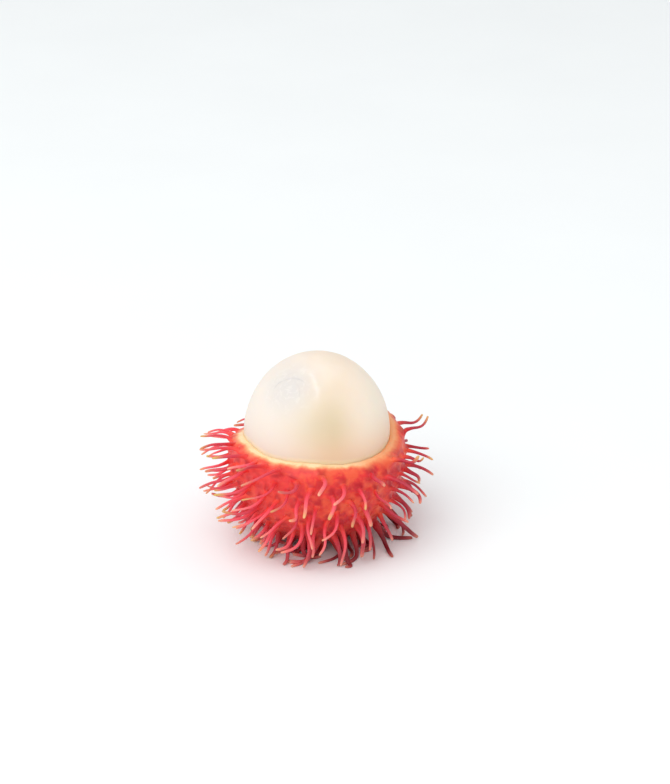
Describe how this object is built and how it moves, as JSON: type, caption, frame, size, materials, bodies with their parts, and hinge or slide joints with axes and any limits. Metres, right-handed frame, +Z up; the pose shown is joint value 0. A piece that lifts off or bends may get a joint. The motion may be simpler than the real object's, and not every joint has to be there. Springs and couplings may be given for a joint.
{
  "type": "half-peeled rambutan",
  "caption": "Half-peeled rambutan: a spiny red cup of rind with the whole white aril standing in it, resting on a small flat spot.",
  "frame": {"origin": "centre of the flat spot on the rind's lower end, on the surface that the fruit rests on", "axes": "+Z up along the fruit's own axis, through the middle of the rind's opening; -Y to the front; -X to the side that most spines are combed to"},
  "size_m": [0.0558, 0.0571, 0.0449],
  "materials": {
    "rind": "satin",
    "aril": "satin"
  },
  "bodies": {
    "root": {"rind": "rind", "aril": "aril"}
  },
  "joints": []
}
